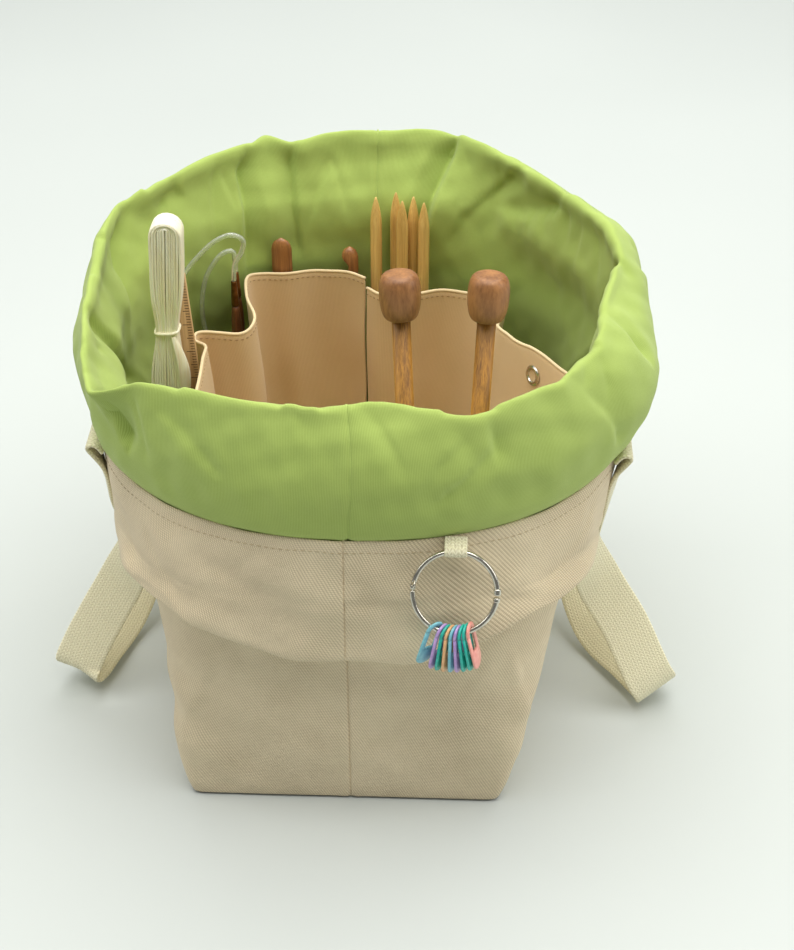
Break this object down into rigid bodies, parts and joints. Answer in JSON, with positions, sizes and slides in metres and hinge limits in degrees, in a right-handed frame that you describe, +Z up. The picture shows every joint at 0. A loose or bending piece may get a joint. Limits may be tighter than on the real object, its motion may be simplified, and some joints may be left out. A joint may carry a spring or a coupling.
{
  "type": "knitting bag",
  "caption": "Free-standing fabric bag with a boxed base, slouched lined rim, two carrying straps, inner tool pockets and a ring for stitch markers",
  "frame": {"origin": "centre of the underside of the canvas base, on the surface that the bag stands on", "axes": "+Z up, -Y is the front with the marker ring, +X is the right-hand side with one carrying strap"},
  "size_m": [0.3306, 0.2584, 0.2715],
  "materials": {
    "canvas": "cotton twill, matte",
    "lining": "plain-weave cotton, matte",
    "pocket_canvas": "cotton twill, matte",
    "webbing": "woven cotton tape, matte",
    "nickel": "nickel plated, polished",
    "marker_blue": "gloss",
    "marker_lilac": "gloss",
    "marker_teal": "gloss",
    "marker_orange": "gloss",
    "marker_pink": "gloss",
    "bamboo": "polished bamboo",
    "knob_wood": "turned and waxed",
    "hook_wood": "turned and waxed",
    "dark_wood": "turned and polished",
    "clear_cable": "clear, flexible",
    "raffia": "matte flat ribbon",
    "ruler_wood": "thin, unvarnished"
  },
  "bodies": {
    "bag": {"canvas_left": "canvas", "canvas_right": "canvas", "canvas_base": "canvas", "lining_left": "lining", "lining_right": "lining", "lining_base": "lining", "pocket_strip_left": "pocket_canvas", "pocket_strip_right": "pocket_canvas", "eyelet_front": "nickel", "eyelet_washer": "nickel", "ring_tab": "webbing"},
    "handle_left": {"handle_left": "webbing"},
    "handle_right": {"handle_right": "webbing"},
    "ring": {"ring_upper_half": "nickel", "ring_hinge_rivet": "nickel"},
    "ring_gate": {"ring_lower_half": "nickel"},
    "stitch_marker_1": {"stitch_marker_1": "marker_blue"},
    "stitch_marker_2": {"stitch_marker_2": "marker_lilac"},
    "stitch_marker_3": {"stitch_marker_3": "marker_teal"},
    "stitch_marker_4": {"stitch_marker_4": "marker_orange"},
    "stitch_marker_5": {"stitch_marker_5": "marker_blue"},
    "stitch_marker_6": {"stitch_marker_6": "marker_lilac"},
    "stitch_marker_7": {"stitch_marker_7": "marker_teal"},
    "stitch_marker_8": {"stitch_marker_8": "marker_teal"},
    "stitch_marker_9": {"stitch_marker_9": "marker_pink"},
    "double_pointed_needle_1": {"double_pointed_needle_1": "bamboo"},
    "double_pointed_needle_2": {"double_pointed_needle_2": "bamboo"},
    "double_pointed_needle_3": {"double_pointed_needle_3": "bamboo"},
    "double_pointed_needle_4": {"double_pointed_needle_4": "bamboo"},
    "double_pointed_needle_5": {"double_pointed_needle_5": "bamboo"},
    "straight_needle_1": {"straight_needle_1": "bamboo", "needle_knob_1": "knob_wood"},
    "straight_needle_2": {"straight_needle_2": "bamboo", "needle_knob_2": "knob_wood"},
    "crochet_hook_1": {"crochet_hook_1": "hook_wood"},
    "crochet_hook_2": {"crochet_hook_2": "hook_wood"},
    "circular_needle": {"circular_needle_tip_a": "dark_wood", "circular_needle_tip_b": "dark_wood", "circular_needle_ferrule_a": "nickel", "circular_needle_ferrule_b": "nickel", "circular_needle_cable": "clear_cable"},
    "hank": {"raffia_hank": "raffia", "hank_tie": "raffia"},
    "ruler": {"ruler": "ruler_wood"}
  },
  "joints": [
    {"name": "handle_right_swing", "type": "hinge", "parent": "bag", "child": "handle_right", "pos_m": [0.1302, 0, 0.1725], "axis": [0, -1, 0], "range_deg": [0, 115]},
    {"name": "handle_left_swing", "type": "hinge", "parent": "bag", "child": "handle_left", "pos_m": [-0.118, 0, 0.1725], "axis": [0, 1, 0], "range_deg": [0, 115]},
    {"name": "ring_swing", "type": "hinge", "parent": "bag", "child": "ring", "pos_m": [0.051, -0.11535, 0.1669], "axis": [-1, 0, 0], "range_deg": [0, 75]},
    {"name": "ring_gate_hinge", "type": "hinge", "parent": "ring", "child": "ring_gate", "pos_m": [0.03308, -0.12194, 0.15278], "axis": [0, 0.9063, -0.4226], "range_deg": [0, 50]},
    {"name": "stitch_marker_1_swing", "type": "hinge", "parent": "ring_gate", "child": "stitch_marker_1", "pos_m": [0.04275, -0.12981, 0.1359], "axis": [-0.8902, 0.1925, 0.4129], "range_deg": [-8, 55]},
    {"name": "stitch_marker_2_swing", "type": "hinge", "parent": "ring_gate", "child": "stitch_marker_2", "pos_m": [0.04574, -0.13032, 0.1348], "axis": [-0.9568, 0.1229, 0.2635], "range_deg": [-8, 55]},
    {"name": "stitch_marker_3_swing", "type": "hinge", "parent": "ring_gate", "child": "stitch_marker_3", "pos_m": [0.04745, -0.1305, 0.13441], "axis": [-0.9806, 0.0828, 0.1776], "range_deg": [-8, 55]},
    {"name": "stitch_marker_4_swing", "type": "hinge", "parent": "ring_gate", "child": "stitch_marker_4", "pos_m": [0.0492, -0.13061, 0.13418], "axis": [-0.9951, 0.042, 0.09], "range_deg": [-8, 55]},
    {"name": "stitch_marker_5_swing", "type": "hinge", "parent": "ring_gate", "child": "stitch_marker_5", "pos_m": [0.05097, -0.13065, 0.1341], "axis": [-1, 0.0007, 0.0016], "range_deg": [-8, 55]},
    {"name": "stitch_marker_6_swing", "type": "hinge", "parent": "ring_gate", "child": "stitch_marker_6", "pos_m": [0.05273, -0.13061, 0.13417], "axis": [-0.9954, -0.0405, -0.0869], "range_deg": [-8, 55]},
    {"name": "stitch_marker_7_swing", "type": "hinge", "parent": "ring_gate", "child": "stitch_marker_7", "pos_m": [0.05448, -0.13051, 0.1344], "axis": [-0.9813, -0.0814, -0.1745], "range_deg": [-8, 55]},
    {"name": "stitch_marker_8_swing", "type": "hinge", "parent": "ring_gate", "child": "stitch_marker_8", "pos_m": [0.0562, -0.13033, 0.13479], "axis": [-0.9578, -0.1214, -0.2604], "range_deg": [-8, 55]},
    {"name": "stitch_marker_9_swing", "type": "hinge", "parent": "ring_gate", "child": "stitch_marker_9", "pos_m": [0.05787, -0.13008, 0.13532], "axis": [-0.9252, -0.1604, -0.3439], "range_deg": [-8, 55]},
    {"name": "double_pointed_needle_1_slide", "type": "slide", "parent": "bag", "child": "double_pointed_needle_1", "axis": [0, 0, 1], "range_m": [0, 0.19]},
    {"name": "double_pointed_needle_2_slide", "type": "slide", "parent": "bag", "child": "double_pointed_needle_2", "axis": [0, 0, 1], "range_m": [0, 0.19]},
    {"name": "double_pointed_needle_3_slide", "type": "slide", "parent": "bag", "child": "double_pointed_needle_3", "axis": [0, 0, 1], "range_m": [0, 0.19]},
    {"name": "double_pointed_needle_4_slide", "type": "slide", "parent": "bag", "child": "double_pointed_needle_4", "axis": [0, 0, 1], "range_m": [0, 0.19]},
    {"name": "double_pointed_needle_5_slide", "type": "slide", "parent": "bag", "child": "double_pointed_needle_5", "axis": [0, 0, 1], "range_m": [0, 0.19]},
    {"name": "straight_needle_1_slide", "type": "slide", "parent": "bag", "child": "straight_needle_1", "axis": [-0.0442, 0.1046, 0.9935], "range_m": [0, 0.22]},
    {"name": "straight_needle_2_slide", "type": "slide", "parent": "bag", "child": "straight_needle_2", "axis": [0.0342, 0.1046, 0.9939], "range_m": [0, 0.22]},
    {"name": "crochet_hook_1_slide", "type": "slide", "parent": "bag", "child": "crochet_hook_1", "axis": [0, 0, 1], "range_m": [0, 0.17]},
    {"name": "crochet_hook_2_slide", "type": "slide", "parent": "bag", "child": "crochet_hook_2", "axis": [0, 0, 1], "range_m": [0, 0.17]},
    {"name": "circular_needle_slide", "type": "slide", "parent": "bag", "child": "circular_needle", "axis": [0, -0.0599, 0.9982], "range_m": [0, 0.14]},
    {"name": "hank_slide", "type": "slide", "parent": "bag", "child": "hank", "axis": [0.0737, 0, 0.9973], "range_m": [0, 0.11]},
    {"name": "ruler_slide", "type": "slide", "parent": "bag", "child": "ruler", "axis": [-0.0534, 0, 0.9986], "range_m": [0, 0.13]}
  ]
}
